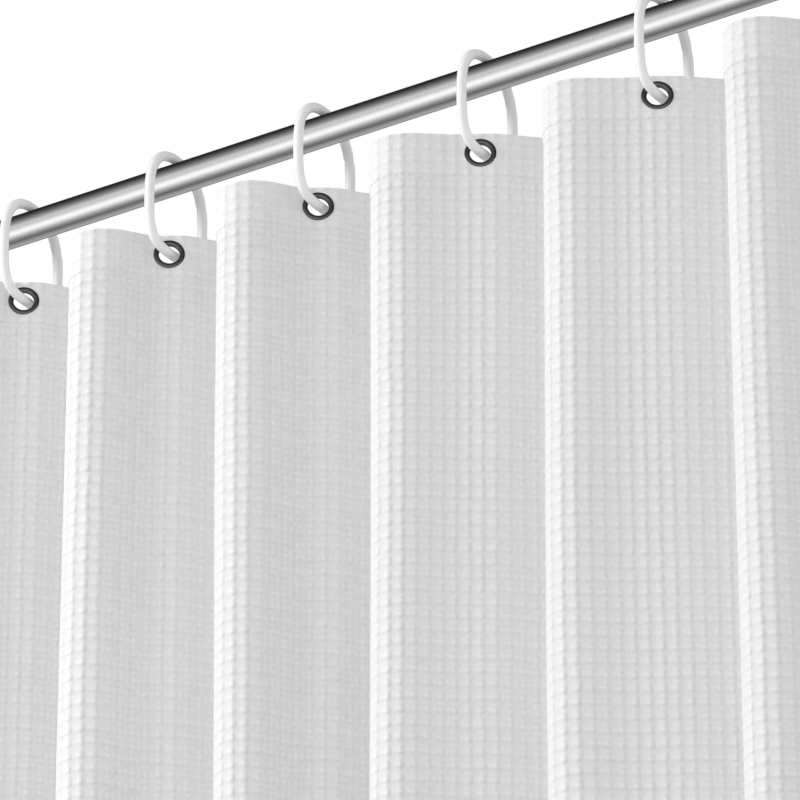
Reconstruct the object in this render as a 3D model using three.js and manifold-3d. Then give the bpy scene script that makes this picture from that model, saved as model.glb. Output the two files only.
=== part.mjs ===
// A waffle-weave shower curtain, hung by twelve rings from a spring tension rod.
// Millimetres, +Z up. X runs along the rod from the left wall, -Y is the side that faces the room.
// The origin is the middle of the left wall pad's flat face, on the rod's axis.
import * as THREE from 'three';
import { mergeVertices } from 'three/addons/utils/BufferGeometryUtils.js';
import Module from 'manifold-3d';

const wasm = await Module();
wasm.setup();

// ---- Driving dimensions ----------------------------------------------------------------
const GAP = 0.3;                    // running and seating clearance between pieces
const WALL_TO_WALL = 1219.2;        // 48 in between the two walls

const ROD_DIAMETER = 16;            // outer tube, 5/8 in
const TUBE_WALL = 0.8;
const INNER_TUBE_LENGTH = 380;
const INNER_TUBE_SHOWN = 34;        // bare inner tube between the outer tube and the right cap
const ROD_SEGMENTS = 24;

const PAD_DIAMETER = 34;
const PAD_THICKNESS = 3.2;
const PAD_EDGE = 1;
const CAP_DIAMETER = 29;
const CAP_LENGTH = 19;
const CAP_FLOOR = 3;
const CAP_SKIRT = 5;                 // full-width part of the cap, next to the pad
const CAP_EDGE = 0.8;
const CAP_LIP = 2.2;                // wall of the cap's mouth round the tube

const SPRING_LENGTH = 58;
const SPRING_DIAMETER = 10.4;
const SPRING_WIRE = 1.3;
const SPRING_TURNS = 8;
const PLUG_LENGTH = 20;
const PLUG_EDGE = 1;
const STUD_DIAMETER = 6;
const STUD_LENGTH = 110;            // the spring's guide, from the plug into the inner tube
const SEAT_LENGTH = 12;
const SEAT_FLANGE = 2;

const RING_WIDTH = 46.8;            // across the ring's centreline
const RING_HEIGHT = 55.6;
const RING_TUBE = 5;
const RING_CROWN = 2.3;             // squareness of the upper half; 2 is an ellipse
const RING_FOOT = 4;                // squareness of the lower half
const RING_STEPS = 32;
const RING_SAMPLES = 256;           // points that the even steps are measured on
const RING_SIDES = 6;

const EYELET_PLAY = 5.6;            // hole wider than the ring's bar by this much
const EYELET_RIM = 2.6;             // metal from the hole to the eyelet's outer edge
const EYELET_BARREL_WALL = 0.6;
const EYELET_FLANGE = 0.6;
const EYELET_BEVEL = 0.8;
const EYELET_SEGMENTS = 16;
const EYELET_DROP = 1.0;            // hole centre below the ring's centreline
const EYELET_FORWARD = 6;           // hole centre in front of the rod's axis
const EYELET_MARGIN = 2.8;          // cloth left above the eyelet

const CLOTH_THICKNESS = 1;
const CLOTH_HEIGHT = 1828.8;        // 72 in
const EYELET_SPACING = 152.4;       // along the flat cloth, so twelve make a 72 in width
const CLOTH_START = 33;             // the cloth's left edge from the left wall
// Each fold's width along the rod, as a share of the cloth in it.
const FOLD_SPREADS = [0.605, 0.59, 0.59, 0.59, 0.655, 0.675, 0.625, 0.65, 0.615, 0.635, 0.67, 0.665];
const RETURN_ANGLE = -100;          // direction of the hidden return between two folds, degrees
const EYELET_PHASE = 8;             // how far past the flank's middle the eyelet sits, degrees of a fold
const EYELET_TURN = 30;             // direction of the cloth at its eyelet, degrees from the rod
const EYELET_REACH = 12;            // how far along the cloth the eyelet's turn is felt
const OUTLINE_STEPS = 9;            // straight stretches on each side of a fold's eyelet
const PATH_STEPS = 240;             // integration steps along one fold
const FLANK_ANGLES = [-40, 125];    // flattest and steepest flank that are tried
const SKEWS = [-80, 60];            // range that a fold's skew is looked for in
const SOLVER_STEPS = 40;

// ---- Worked out from the driving dimensions ----------------------------------------------
const rodRadius = ROD_DIAMETER / 2;
const innerTubeRadius = rodRadius - TUBE_WALL - GAP;
const innerBoreRadius = innerTubeRadius - TUBE_WALL;
const padFace = PAD_THICKNESS + GAP;
const tubeEnd = padFace + CAP_FLOOR + GAP;
const outerTubeEnd = WALL_TO_WALL - padFace - CAP_LENGTH - INNER_TUBE_SHOWN;
const innerTubeStart = WALL_TO_WALL - tubeEnd - INNER_TUBE_LENGTH;
const seatFace = innerTubeStart - GAP - SEAT_FLANGE;
const plugFace = seatFace - GAP - SPRING_LENGTH - GAP;
const ringTop = rodRadius + GAP + RING_TUBE / 2 * Math.cos(Math.PI / RING_SIDES);
const ringCentre = ringTop - RING_HEIGHT / 2;
const eyeletY = -EYELET_FORWARD;
const eyeletZ = ringHeightAt(eyeletY) - EYELET_DROP;
const holeRadius = (RING_TUBE + EYELET_PLAY) / 2;
const eyeletRadius = holeRadius + EYELET_RIM;
const barrelRadius = holeRadius + EYELET_BARREL_WALL;
const clothTop = eyeletZ + eyeletRadius + EYELET_MARGIN;

// ---- Finishes ---------------------------------------------------------------------------
const finish = {
  chrome: { color: 0xb9bcbf, roughness: 0.12, metalness: 1 },
  white: { color: 0xf4f4f8, roughness: 0.3, metalness: 0 },
  gunmetal: { color: 0x55585c, roughness: 0.25, metalness: 1 },
  cloth: { color: 0xf2f2f2, roughness: 0.9, metalness: 0 },
  rubber: { color: 0xe4e4e2, roughness: 0.8, metalness: 0 },
  steel: { color: 0x8d9196, roughness: 0.35, metalness: 1 },
  nylon: { color: 0xdadad6, roughness: 0.5, metalness: 0 },
};

function piece(name, geometry, look) {
  const mesh = new THREE.Mesh(geometry, new THREE.MeshStandardMaterial(finish[look]));
  mesh.name = name;
  return mesh;
}

// ---- Shared shapes ------------------------------------------------------------------------
// A solid of revolution about the rod's axis, from pairs of [x, radius]. The profile runs out along
// the inside and back along the outside. It starts and ends on the axis, or closes on itself.
function turnedAboutRod(profile) {
  const points = profile.map(([x, radius]) => new THREE.Vector2(radius, x)).reverse();
  if (points[0].x > 0) {
    points.push(points[0].clone());
  }
  const geometry = new THREE.LatheGeometry(points, ROD_SEGMENTS);
  geometry.rotateZ(-Math.PI / 2);
  return geometry;
}

// The same profile, measured from the right wall.
function fromRightWall(profile) {
  return profile.map(([x, radius]) => [WALL_TO_WALL - x, radius]).reverse();
}

function toSolid(geometry) {
  const bare = geometry.clone();
  bare.deleteAttribute('normal');
  bare.deleteAttribute('uv');
  const merged = mergeVertices(bare, 1e-4);
  return new wasm.Manifold(new wasm.Mesh({
    numProp: 3,
    vertProperties: new Float32Array(merged.attributes.position.array),
    triVerts: new Uint32Array(merged.index.array),
  }));
}

function toGeometry(solid) {
  const mesh = solid.getMesh();
  const geometry = new THREE.BufferGeometry();
  geometry.setAttribute('position', new THREE.BufferAttribute(mesh.vertProperties, mesh.numProp));
  geometry.setIndex(new THREE.BufferAttribute(mesh.triVerts, 1));
  geometry.computeVertexNormals();
  return geometry;
}

// ---- Tension rod --------------------------------------------------------------------------
function outerTube() {
  const bore = rodRadius - TUBE_WALL;
  return turnedAboutRod([
    [tubeEnd, bore], [outerTubeEnd, bore], [outerTubeEnd, rodRadius], [tubeEnd, rodRadius],
  ]);
}

function innerTube() {
  const end = innerTubeStart + INNER_TUBE_LENGTH;
  return turnedAboutRod([
    [innerTubeStart, innerBoreRadius], [end, innerBoreRadius],
    [end, innerTubeRadius], [innerTubeStart, innerTubeRadius],
  ]);
}

// A cup that the tube's end stands in, with a softened outer corner.
function capProfile(tubeRadius) {
  const outer = CAP_DIAMETER / 2;
  const mouth = padFace + CAP_LENGTH;
  const bore = tubeRadius + GAP;
  return [
    [padFace + CAP_FLOOR, 0], [padFace + CAP_FLOOR, bore], [mouth, bore],
    [mouth, bore + CAP_LIP - CAP_EDGE], [mouth - CAP_EDGE, bore + CAP_LIP],
    [padFace + CAP_SKIRT + CAP_EDGE, outer - CAP_EDGE], [padFace + CAP_SKIRT, outer],
    [padFace, outer], [padFace, 0],
  ];
}

function padProfile() {
  const outer = PAD_DIAMETER / 2;
  return [
    [PAD_THICKNESS, 0], [PAD_THICKNESS, outer - PAD_EDGE], [PAD_THICKNESS - PAD_EDGE, outer],
    [0, outer], [0, 0],
  ];
}

// The plug that grips the outer tube, with the stud that guides the spring.
function lockPlug() {
  const grip = rodRadius - TUBE_WALL - GAP;
  const start = plugFace - PLUG_LENGTH;
  const stud = STUD_DIAMETER / 2;
  return turnedAboutRod([
    [plugFace + STUD_LENGTH, 0], [plugFace + STUD_LENGTH, stud], [plugFace, stud],
    [plugFace, grip], [start + PLUG_EDGE, grip], [start, grip - PLUG_EDGE], [start, 0],
  ]);
}

// The bush in the inner tube's end that the spring pushes on.
function springSeat() {
  const bore = STUD_DIAMETER / 2 + GAP;
  const stem = innerBoreRadius - GAP;
  const end = innerTubeStart + SEAT_LENGTH;
  return turnedAboutRod([
    [seatFace, bore], [end, bore], [end, stem], [innerTubeStart - GAP, stem],
    [innerTubeStart - GAP, innerTubeRadius], [seatFace, innerTubeRadius],
  ]);
}

class Helix extends THREE.Curve {
  getPoint(t, target = new THREE.Vector3()) {
    const angle = 2 * Math.PI * SPRING_TURNS * t;
    const radius = (SPRING_DIAMETER - SPRING_WIRE) / 2;
    const run = SPRING_LENGTH - SPRING_WIRE;
    return target.set(
      plugFace + GAP + SPRING_WIRE / 2 + run * t, radius * Math.cos(angle), radius * Math.sin(angle));
  }
}

function rodSpring() {
  const section = new THREE.Shape().absarc(0, 0, SPRING_WIRE / 2, 0, 2 * Math.PI);
  return new THREE.ExtrudeGeometry(section, {
    extrudePath: new Helix(), steps: SPRING_TURNS * 10, curveSegments: 3, bevelEnabled: false,
  });
}

// ---- Hanger: ring, eyelet and washer ---------------------------------------------------------
// A point of the ring's centreline, as [y, z] from the ring's centre.
function ringPoint(angle) {
  const c = Math.cos(angle);
  const s = Math.sin(angle);
  const power = 2 / (s > 0 ? RING_CROWN : RING_FOOT);
  return [
    RING_WIDTH / 2 * Math.sign(c) * Math.abs(c) ** power,
    RING_HEIGHT / 2 * Math.sign(s) * Math.abs(s) ** power,
  ];
}

// The height of the ring's lower centreline at a distance y from the rod's axis.
function ringHeightAt(y) {
  const across = Math.abs(2 * y / RING_WIDTH) ** RING_FOOT;
  return ringCentre - RING_HEIGHT / 2 * (1 - across) ** (1 / RING_FOOT);
}

// Even steps along the ring's centreline, so that its sections stay square to it.
function ringCentreline() {
  const loop = [];
  for (let k = 0; k < RING_SAMPLES; k += 1) {
    const [y, z] = ringPoint(2 * Math.PI * k / RING_SAMPLES);
    loop.push(new THREE.Vector3(0, y, z));
  }
  return new THREE.CatmullRomCurve3(loop, true);
}

// A torus whose sections are moved onto the ring's oval centreline, flat side towards the rod.
function ring() {
  const torus = new THREE.TorusGeometry(RING_WIDTH, RING_TUBE / 2, RING_SIDES, RING_STEPS);
  torus.deleteAttribute('normal');
  torus.deleteAttribute('uv');
  const geometry = mergeVertices(torus, 1e-4);
  const curve = ringCentreline();
  const place = geometry.attributes.position;
  for (let i = 0; i < place.count; i += 1) {
    const turn = Math.atan2(place.getY(i), place.getX(i)) / (2 * Math.PI) + 1;
    const share = Math.round(turn * RING_STEPS) % RING_STEPS / RING_STEPS;
    const fromMiddle = Math.hypot(place.getX(i), place.getY(i)) - RING_WIDTH;
    const around = Math.atan2(place.getZ(i), fromMiddle) + Math.PI / RING_SIDES;
    const outward = RING_TUBE / 2 * Math.cos(around);
    const middle = curve.getPointAt(share);
    const along = curve.getTangentAt(share);
    const x = RING_TUBE / 2 * Math.sin(around);
    place.setXYZ(i, x, middle.y + outward * along.z, ringCentre + middle.z - outward * along.y);
  }
  geometry.computeVertexNormals();
  return geometry;
}

// A ring of metal about Y, with its profile as pairs of [radius, y]; -Y is the front of the cloth.
function turnedAboutEyelet(profile) {
  const points = profile.map(([radius, y]) => new THREE.Vector2(radius, y));
  return new THREE.LatheGeometry([...points, points[0].clone()], EYELET_SEGMENTS);
}

function eyelet() {
  const clothFace = -CLOTH_THICKNESS / 2 - GAP;
  const front = clothFace - EYELET_FLANGE;
  const back = CLOTH_THICKNESS / 2 + GAP + EYELET_FLANGE;
  return turnedAboutEyelet([
    [holeRadius, back], [holeRadius, front], [eyeletRadius - EYELET_BEVEL, front],
    [eyeletRadius, clothFace], [barrelRadius, clothFace], [barrelRadius, back],
  ]);
}

function washer() {
  const bore = barrelRadius + GAP;
  const clothFace = CLOTH_THICKNESS / 2 + GAP;
  const back = clothFace + EYELET_FLANGE;
  return turnedAboutEyelet([
    [bore, clothFace], [eyeletRadius, clothFace], [eyeletRadius - EYELET_BEVEL, back], [bore, back],
  ]);
}

// ---- Cloth --------------------------------------------------------------------------------------
// One fold is EYELET_SPACING of cloth, from the middle of one return to the middle of the next.
// Its direction follows a meander: a long flank that carries the eyelet and a short, steep return.
const eyeletShare = 0.5 + EYELET_PHASE / 360;
const facetShare = (eyeletRadius + GAP) / EYELET_SPACING;

function meander(share, flankAngle, skew) {
  const psi = 2 * Math.PI * (share - 0.5);
  const swing = (flankAngle - RETURN_ANGLE) / 2;
  const middle = (flankAngle + RETURN_ANGLE) / 2 - skew;
  return middle + swing * Math.cos(psi) + skew * Math.cos(2 * psi);
}

// The meander, turned near the eyelet so that every eyelet faces its ring at the same angle.
function foldDirection(share, flankAngle, skew) {
  const fromEyelet = (share - eyeletShare) * EYELET_SPACING / EYELET_REACH;
  const turn = EYELET_TURN - meander(eyeletShare, flankAngle, skew);
  const direction = meander(share, flankAngle, skew) + turn * Math.exp(-fromEyelet * fromEyelet);
  return direction * Math.PI / 180;
}

// Points [x, y] along a fold that starts at 0, 0.
function walkFold(flankAngle, skew) {
  const step = EYELET_SPACING / PATH_STEPS;
  const points = [[0, 0]];
  for (let k = 0; k < PATH_STEPS; k += 1) {
    const direction = foldDirection((k + 0.5) / PATH_STEPS, flankAngle, skew);
    const [x, y] = points[k];
    points.push([x + step * Math.cos(direction), y + step * Math.sin(direction)]);
  }
  return points;
}

// The value in a range where the rising function crosses zero.
function solve(rising, range) {
  let [a, b] = range;
  for (let k = 0; k < SOLVER_STEPS; k += 1) {
    const middle = (a + b) / 2;
    if (rising(middle) > 0) {
      b = middle;
    } else {
      a = middle;
    }
  }
  return (a + b) / 2;
}

// The fold that comes back to its starting depth.
function levelFold(flankAngle) {
  const skew = solve((value) => -walkFold(flankAngle, value)[PATH_STEPS][1], SKEWS);
  return walkFold(flankAngle, skew);
}

// The fold of a given width along the rod: a steeper flank makes a narrower fold.
function foldOfWidth(width) {
  const flankAngle = solve((angle) => width - levelFold(angle)[PATH_STEPS][0], FLANK_ANGLES);
  return levelFold(flankAngle);
}

// The folds draw closer together when the rod is too short for their natural spread.
const naturalSpread = EYELET_SPACING * FOLD_SPREADS.reduce((a, b) => a + b);
const rodRoom = WALL_TO_WALL - 2 * CLOTH_START;
const crowding = Math.min(1, rodRoom / naturalSpread);
const foldWidths = FOLD_SPREADS.map((share) => share * EYELET_SPACING * crowding);
const folds = foldWidths.map(foldOfWidth);
const foldStarts = foldWidths.map((_, i) => foldWidths.slice(0, i).reduce((a, b) => a + b, CLOTH_START));

// A point of a fold at a share of its length, in the object's own frame.
function clothPoint(index, share) {
  const points = folds[index];
  const at = (s) => {
    const k = Math.min(Math.floor(s * PATH_STEPS), PATH_STEPS - 1);
    const t = s * PATH_STEPS - k;
    return [0, 1].map((n) => points[k][n] * (1 - t) + points[k + 1][n] * t);
  };
  const [x, y] = at(share);
  return new THREE.Vector2(foldStarts[index] + x, eyeletY + y - meanEyeletDepth);
}

// How far behind the fold's start its eyelet lies, averaged over the folds so that they stay joined.
const meanEyeletDepth = folds.reduce((sum, points) => {
  const k = Math.round(eyeletShare * PATH_STEPS);
  return sum + points[k][1] / folds.length;
}, 0);

// The straight stretch of a fold that lies between its eyelet and washer.
function eyeletFacet(index) {
  const left = clothPoint(index, eyeletShare - facetShare);
  const right = clothPoint(index, eyeletShare + facetShare);
  const middle = left.clone().add(right).multiplyScalar(0.5);
  return { middle, turn: Math.atan2(right.y - left.y, right.x - left.x) };
}

// Shares of a fold's length from one trimmed edge to the other, with none inside the facet.
function outlineShares() {
  const trim = GAP / 2 / EYELET_SPACING;
  const left = eyeletShare - facetShare;
  const right = eyeletShare + facetShare;
  const shares = [];
  for (let k = 0; k <= OUTLINE_STEPS; k += 1) {
    shares.push(trim + (left - trim) * k / OUTLINE_STEPS);
  }
  for (let k = 0; k <= OUTLINE_STEPS; k += 1) {
    shares.push(right + (1 - trim - right) * k / OUTLINE_STEPS);
  }
  return shares;
}

// One fold as a strip of cloth that hangs straight down, with its eyelet's hole.
function clothFold(index) {
  const half = CLOTH_THICKNESS / 2;
  const front = [];
  const back = [];
  for (const share of outlineShares()) {
    const here = clothPoint(index, share);
    const ahead = clothPoint(index, Math.min(share + 1 / PATH_STEPS, 1));
    const behind = clothPoint(index, Math.max(share - 1 / PATH_STEPS, 0));
    const along = ahead.sub(behind).normalize();
    front.push(new THREE.Vector2(here.x + half * along.y, here.y - half * along.x));
    back.push(new THREE.Vector2(here.x - half * along.y, here.y + half * along.x));
  }
  const outline = new THREE.Shape([...front, ...back.reverse()]);
  const strip = new THREE.ExtrudeGeometry(outline, { depth: CLOTH_HEIGHT, bevelEnabled: false });
  strip.translate(0, 0, clothTop - CLOTH_HEIGHT);
  const facet = eyeletFacet(index);
  const reach = 4 * CLOTH_THICKNESS;
  const punch = new THREE.CylinderGeometry(
    barrelRadius + GAP, barrelRadius + GAP, 2 * reach, EYELET_SEGMENTS);
  punch.rotateZ(facet.turn);
  punch.translate(facet.middle.x, facet.middle.y, eyeletZ);
  return toGeometry(toSolid(strip).subtract(toSolid(punch)));
}

// ---- The assembly -------------------------------------------------------------------------------
const label = (index) => String(index + 1).padStart(2, '0');

function tensionRod() {
  const rod = new THREE.Group();
  rod.add(
    piece('rod_outer_tube', outerTube(), 'chrome'),
    piece('rod_inner_tube', innerTube(), 'chrome'),
    piece('lock_plug', lockPlug(), 'nylon'),
    piece('spring_seat', springSeat(), 'nylon'),
    piece('rod_spring', rodSpring(), 'steel'),
    piece('end_cap_left', turnedAboutRod(capProfile(rodRadius)), 'white'),
    piece('end_cap_right', turnedAboutRod(fromRightWall(capProfile(innerTubeRadius))), 'white'),
    piece('wall_pad_left', turnedAboutRod(padProfile()), 'rubber'),
    piece('wall_pad_right', turnedAboutRod(fromRightWall(padProfile())), 'rubber'),
  );
  return rod;
}

// One ring with the eyelet, the washer and the fold of cloth that it carries.
function carriage(index) {
  const { middle, turn } = eyeletFacet(index);
  const hardware = new THREE.Group();
  hardware.position.set(middle.x, middle.y, eyeletZ);
  hardware.rotation.z = turn;
  hardware.add(
    piece(`eyelet_${label(index)}`, eyelet(), 'gunmetal'),
    piece(`eyelet_washer_${label(index)}`, washer(), 'gunmetal'),
  );
  const hanger = piece(`ring_${label(index)}`, ring(), 'white');
  hanger.position.x = middle.x;
  const group = new THREE.Group();
  group.add(hanger, hardware, piece(`curtain_fold_${label(index)}`, clothFold(index), 'cloth'));
  return group;
}

const showerCurtain = new THREE.Group();
showerCurtain.name = 'shower_curtain';
showerCurtain.add(tensionRod());
folds.forEach((_, index) => showerCurtain.add(carriage(index)));

export default showerCurtain;
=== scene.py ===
"""A waffle-weave shower curtain on a chrome tension rod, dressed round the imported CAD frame.

X runs along the rod from the left wall, -Y faces the room and Z points up. Sizes are in metres.
"""
import logging
import math
from dataclasses import dataclass, field
from enum import Enum
from typing import Callable, Optional, Sequence

import bmesh
import bpy
import numpy as np
from mathutils import Matrix, Vector


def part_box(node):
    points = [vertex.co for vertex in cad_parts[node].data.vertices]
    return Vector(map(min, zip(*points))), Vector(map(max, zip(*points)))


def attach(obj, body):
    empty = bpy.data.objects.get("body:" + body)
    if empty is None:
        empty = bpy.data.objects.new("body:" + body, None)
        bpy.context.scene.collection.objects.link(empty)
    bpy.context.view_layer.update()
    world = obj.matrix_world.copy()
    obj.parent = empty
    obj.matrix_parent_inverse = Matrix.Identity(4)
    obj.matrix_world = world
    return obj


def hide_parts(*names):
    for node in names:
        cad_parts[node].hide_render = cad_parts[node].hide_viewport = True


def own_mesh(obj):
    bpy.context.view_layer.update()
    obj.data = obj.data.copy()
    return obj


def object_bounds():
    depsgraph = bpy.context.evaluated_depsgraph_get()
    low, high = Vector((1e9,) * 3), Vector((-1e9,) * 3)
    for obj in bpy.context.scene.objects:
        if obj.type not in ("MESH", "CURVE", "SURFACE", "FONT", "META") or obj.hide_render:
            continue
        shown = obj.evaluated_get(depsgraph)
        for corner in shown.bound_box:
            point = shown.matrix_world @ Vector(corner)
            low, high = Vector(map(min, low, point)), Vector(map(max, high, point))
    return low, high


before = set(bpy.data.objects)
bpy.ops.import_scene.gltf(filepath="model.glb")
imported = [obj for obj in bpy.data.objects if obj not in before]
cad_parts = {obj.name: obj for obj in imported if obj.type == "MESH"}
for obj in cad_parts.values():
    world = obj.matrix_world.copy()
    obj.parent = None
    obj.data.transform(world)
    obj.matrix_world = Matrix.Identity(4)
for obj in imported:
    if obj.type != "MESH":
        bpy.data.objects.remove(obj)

CAD_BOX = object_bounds()
MM = 0.001

logging.basicConfig(level=logging.INFO, format="%(message)s")
log = logging.getLogger("shower_curtain")


class Side(Enum):
    """The side of the cloth that a row of stitches lies on."""

    FRONT = -1.0
    BACK = 1.0


class End(Enum):
    """The wall that one end of the rod stands on."""

    LEFT = "left"
    RIGHT = "right"


# ---- Node helpers --------------------------------------------------------------------------------


class Tree:
    """A small writer for node trees."""

    def __init__(self, tree: bpy.types.NodeTree) -> None:
        """Starts an empty tree.

        Args:
            tree: the node tree, which is cleared.
        """
        self.tree = tree
        tree.nodes.clear()

    def node(self, kind: str, inputs: Optional[dict] = None, **settings: object) -> bpy.types.Node:
        """Adds a node.

        Args:
            kind: the node's Blender type.
            inputs: values or sockets, by input name or number.
            settings: the node's own properties.

        Returns:
            The new node.
        """
        made = self.tree.nodes.new(kind)
        for name, value in settings.items():
            setattr(made, name, value)
        for name, value in (inputs or {}).items():
            if isinstance(value, bpy.types.NodeSocket):
                self.tree.links.new(value, made.inputs[name])
            else:
                made.inputs[name].default_value = value
        return made

    def math(self, operation: str, a: object, b: object = 0.0, clamp: bool = False) -> bpy.types.NodeSocket:
        """Adds one sum.

        Args:
            operation: the Math node's operation.
            a: a number or a socket.
            b: a number or a socket.
            clamp: whether the answer is kept from 0 to 1.

        Returns:
            The answer's socket.
        """
        return self.node("ShaderNodeMath", {0: a, 1: b}, operation=operation, use_clamp=clamp).outputs[0]

    def ramp(self, value: bpy.types.NodeSocket, stops: Sequence[tuple[float, float]]) -> bpy.types.NodeSocket:
        """Adds a grey ramp.

        Args:
            value: the socket that drives the ramp.
            stops: pairs of place and grey level.

        Returns:
            The ramp's colour socket.
        """
        made = self.node("ShaderNodeValToRGB", {0: value})
        elements = made.color_ramp.elements
        elements[0].position, elements[-1].position = stops[0][0], stops[-1][0]
        for place, _ in stops[1:-1]:
            elements.new(place)
        for element, (_, level) in zip(elements, stops):
            element.color = (level, level, level, 1.0)
        return made.outputs[0]

    def swell(self, value: bpy.types.NodeSocket, start: float, end: float) -> bpy.types.NodeSocket:
        """A smooth rise from 0 to 1 while a value goes from start to end."""
        made = self.node("ShaderNodeMapRange", {"Value": value, "From Min": start, "From Max": end})
        made.interpolation_type = "SMOOTHSTEP"
        return made.outputs[0]


def new_material(name: str) -> tuple[bpy.types.Material, Tree, bpy.types.Node]:
    """Makes an empty material.

    Args:
        name: the material's name.

    Returns:
        The material, its tree and its Principled shader, which is joined to the output.
    """
    material = bpy.data.materials.new(name)
    material.use_nodes = True
    tree = Tree(material.node_tree)
    shader = tree.node("ShaderNodeBsdfPrincipled")
    tree.node("ShaderNodeOutputMaterial", {"Surface": shader.outputs[0]})
    return material, tree, shader


# ---- Finishes --------------------------------------------------------------------------------------


@dataclass(frozen=True)
class ChromeFinish:
    """Mirror chrome on a drawn tube, with faint polishing lines along it."""

    tone: float = 0.86
    roughness: float = 0.045
    line_width: float = 0.35 * MM

    def material(self) -> bpy.types.Material:
        """Builds the chrome.

        Returns:
            The material.
        """
        made, tree, shader = new_material("chrome")
        place = tree.node("ShaderNodeTexCoord").outputs["Object"]
        stretch = tree.node("ShaderNodeMapping", {0: place}, vector_type="POINT")
        stretch.inputs["Scale"].default_value = (2.0, 1 / self.line_width, 1 / self.line_width)
        lines = tree.node("ShaderNodeTexNoise", {"Vector": stretch.outputs[0], "Scale": 1.0, "Detail": 3.0})
        tree.tree.links.new(
            tree.ramp(lines.outputs[0], ((0.3, self.roughness), (0.75, self.roughness * 2.2))),
            shader.inputs["Roughness"])
        shader.inputs["Base Color"].default_value = (self.tone, self.tone, self.tone * 1.01, 1.0)
        shader.inputs["Metallic"].default_value = 1.0
        return made


@dataclass(frozen=True)
class PlasticFinish:
    """Glossy moulded plastic with a faint orange-peel skin."""

    name: str
    color: tuple[float, float, float]
    roughness: float = 0.24
    peel: float = 0.9 * MM
    relief: float = 0.03 * MM
    glow: float = 0.12

    def material(self) -> bpy.types.Material:
        """Builds the plastic.

        Returns:
            The material.
        """
        made, tree, shader = new_material(self.name)
        place = tree.node("ShaderNodeTexCoord").outputs["Object"]
        peel = tree.node("ShaderNodeTexNoise", {"Vector": place, "Scale": 1 / self.peel, "Detail": 2.0})
        cloudy = tree.node("ShaderNodeTexNoise", {"Vector": place, "Scale": 60.0, "Detail": 3.0})
        bump = tree.node(
            "ShaderNodeBump", {"Strength": 0.35, "Distance": self.relief, "Height": peel.outputs[0]})
        tint = tree.node("ShaderNodeMix", {0: cloudy.outputs[0]}, data_type="RGBA")
        tint.inputs["A"].default_value = (*[c * 0.97 for c in self.color], 1.0)
        tint.inputs["B"].default_value = (*self.color, 1.0)
        tree.tree.links.new(tint.outputs["Result"], shader.inputs["Base Color"])
        tree.tree.links.new(bump.outputs[0], shader.inputs["Normal"])
        shader.inputs["Roughness"].default_value = self.roughness
        shader.inputs["Subsurface Weight"].default_value = self.glow
        shader.inputs["Subsurface Radius"].default_value = (0.004, 0.004, 0.004)
        shader.inputs["Subsurface Scale"].default_value = 0.5
        return made


@dataclass(frozen=True)
class MetalFinish:
    """Plain metal with fine, uneven polish."""

    name: str
    tone: float
    roughness: float

    def material(self) -> bpy.types.Material:
        """Builds the metal.

        Returns:
            The material.
        """
        made, tree, shader = new_material(self.name)
        place = tree.node("ShaderNodeTexCoord").outputs["Object"]
        wear = tree.node("ShaderNodeTexNoise", {"Vector": place, "Scale": 900.0, "Detail": 4.0})
        tree.tree.links.new(
            tree.ramp(wear.outputs[0], ((0.3, self.roughness * 0.7), (0.7, self.roughness * 1.5))),
            shader.inputs["Roughness"])
        tree.tree.links.new(
            tree.ramp(wear.outputs[0], ((0.35, self.tone * 0.85), (0.65, self.tone))),
            shader.inputs["Base Color"])
        shader.inputs["Metallic"].default_value = 1.0
        return made


@dataclass(frozen=True)
class MattFinish:
    """Matt rubber or nylon with a fine grain."""

    name: str
    color: tuple[float, float, float]
    roughness: float
    grain: float = 0.6 * MM

    def material(self) -> bpy.types.Material:
        """Builds the matt skin.

        Returns:
            The material.
        """
        made, tree, shader = new_material(self.name)
        place = tree.node("ShaderNodeTexCoord").outputs["Object"]
        grain = tree.node("ShaderNodeTexNoise", {"Vector": place, "Scale": 1 / self.grain, "Detail": 4.0})
        bump = tree.node(
            "ShaderNodeBump", {"Strength": 0.4, "Distance": 0.1 * MM, "Height": grain.outputs[0]})
        tint = tree.node("ShaderNodeMix", {0: grain.outputs[0]}, data_type="RGBA")
        tint.inputs["A"].default_value = (*[c * 0.9 for c in self.color], 1.0)
        tint.inputs["B"].default_value = (*self.color, 1.0)
        tree.tree.links.new(tint.outputs["Result"], shader.inputs["Base Color"])
        tree.tree.links.new(bump.outputs[0], shader.inputs["Normal"])
        shader.inputs["Roughness"].default_value = self.roughness
        return made


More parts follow.
